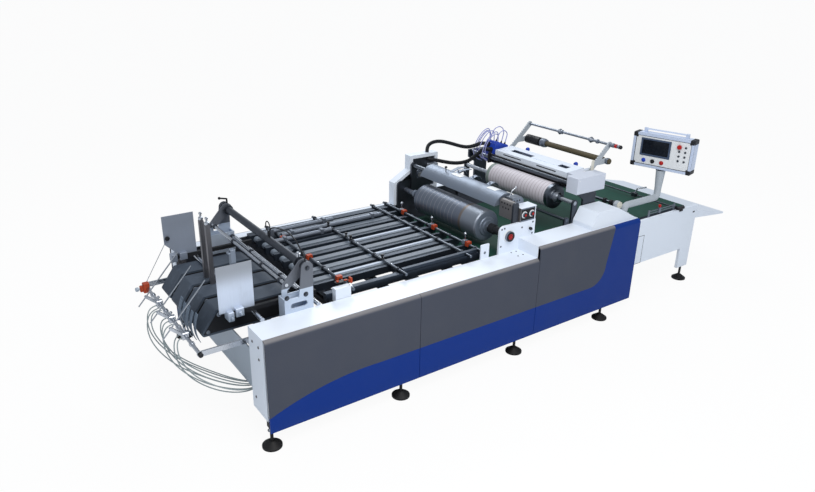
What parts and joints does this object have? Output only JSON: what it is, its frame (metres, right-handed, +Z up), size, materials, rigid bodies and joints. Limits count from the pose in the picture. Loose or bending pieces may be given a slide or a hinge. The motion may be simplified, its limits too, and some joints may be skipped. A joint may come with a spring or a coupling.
{
  "type": "window patching machine",
  "caption": "Sheet-fed window patching machine with feeder, feed table, plate cylinder, film unwinder, belt delivery and swivelling control box",
  "frame": {"origin": "on the floor under the middle of the machine, on the centre plane of its two cabinets", "axes": "+X runs with the cartons from the feeder to the delivery tray, +Y from the operator's side to the drive side, +Z up"},
  "size_m": [6.0769, 2.0472, 1.7063],
  "materials": {
    "white_enamel": "satin white enamel",
    "anthracite_enamel": "fine textured dark grey enamel",
    "royal_blue_enamel": "satin royal blue enamel",
    "black_enamel": "semi-matt black enamel",
    "grey_arm_enamel": "satin warm grey enamel",
    "machined_steel": "ground steel with turned lines",
    "dark_steel": "blued dark steel",
    "bright_steel": "bright chromed bar",
    "bare_aluminium": "brushed aluminium plate",
    "silver_sheet": "satin silver sheet",
    "black_rubber": "matt black rubber",
    "green_belt": "matt green belt",
    "slate_belt": "dark blue-grey belt",
    "pale_belt": "pale grey belt",
    "striped_wrap": "beige and grey striped roller cover",
    "orange_plastic": "orange clamp plastic",
    "black_plastic": "black moulded plastic",
    "blue_motor_paint": "gloss blue paint",
    "film_core": "olive brown core tube",
    "pale_hose": "milky air hose",
    "grey_hose": "grey-green air hose"
  },
  "bodies": {
    "machine": {"levelling_feet": "black_rubber", "base_frame": "black_enamel", "side_frames": "dark_steel", "near_white_cover": "white_enamel", "far_white_cover": "white_enamel", "near_grey_panels": "anthracite_enamel", "near_blue_panels": "royal_blue_enamel", "far_grey_panels": "anthracite_enamel", "far_blue_panels": "royal_blue_enamel", "gear_housing": "white_enamel", "far_tall_cover": "white_enamel", "feeder_belts": "slate_belt", "infeed_sheet": "bare_aluminium", "cross_beams": "dark_steel", "bar_brackets": "bare_aluminium", "main_bar": "dark_steel", "feeder_rods": "bright_steel", "guide_rails": "black_enamel", "side_guides": "bare_aluminium", "stop_posts": "dark_steel", "front_bar": "bright_steel", "stack_rods": "bright_steel", "table_rails": "machined_steel", "feed_belts": "pale_belt", "orange_clamps": "orange_plastic", "ball_clamps": "bright_steel", "lay_block": "white_enamel", "near_bearing_plate": "white_enamel", "bearing_plates": "dark_steel", "guide_hood": "silver_sheet", "cross_rods": "bright_steel", "adjusters": "silver_sheet", "gantry_frame": "dark_steel", "gantry_cover": "white_enamel", "gantry_end_box": "white_enamel", "blue_motor": "blue_motor_paint", "unwind_arms": "grey_arm_enamel", "core_brake": "black_plastic", "delivery_sides": "white_enamel", "belt_bed": "dark_steel", "delivery_belt": "green_belt", "bed_hangers": "dark_steel", "end_tray": "white_enamel", "delivery_rod": "dark_steel", "belt_tensioner": "machined_steel", "arm_base": "grey_arm_enamel", "hose_manifold": "bare_aluminium", "conduit_upper": "black_plastic", "conduit_lower": "black_plastic", "motor_hose_1": "pale_hose", "motor_hose_2": "pale_hose", "feeder_hose_1": "grey_hose", "feeder_hose_2": "grey_hose", "feeder_hose_3": "grey_hose"},
    "plate_cylinder": {"plate_cylinder": "machined_steel"},
    "blanket_roller": {"blanket_roller": "striped_wrap"},
    "unwind_shaft": {"unwind_shaft": "dark_steel"},
    "core_roll": {"core_roll": "film_core"},
    "control_arm": {"control_arm": "grey_arm_enamel"},
    "control_box": {"control_box": "bare_aluminium"}
  },
  "joints": [
    {"name": "cylinder_spin", "type": "hinge", "parent": "machine", "child": "plate_cylinder", "pos_m": [-0.172, 0.05, 1.014], "axis": [0, -1, 0], "continuous": true},
    {"name": "roller_spin", "type": "hinge", "parent": "machine", "child": "blanket_roller", "pos_m": [0.637, 0, 1.16], "axis": [0, -1, 0], "continuous": true},
    {"name": "unwind_spin", "type": "hinge", "parent": "machine", "child": "unwind_shaft", "pos_m": [1.205, -0.05, 1.605], "axis": [0, -1, 0], "continuous": true},
    {"name": "core_spin", "type": "hinge", "parent": "machine", "child": "core_roll", "pos_m": [1.185, -0.05, 1.45], "axis": [0, -1, 0], "continuous": true},
    {"name": "arm_swivel", "type": "hinge", "parent": "machine", "child": "control_arm", "pos_m": [1.312, -0.745, 0.985], "axis": [0, 0, 1], "range_deg": [-90, 45]},
    {"name": "box_swivel", "type": "hinge", "parent": "control_arm", "child": "control_box", "pos_m": [1.805, -0.745, 1.312], "axis": [0, 0, 1], "range_deg": [-90, 90]}
  ]
}
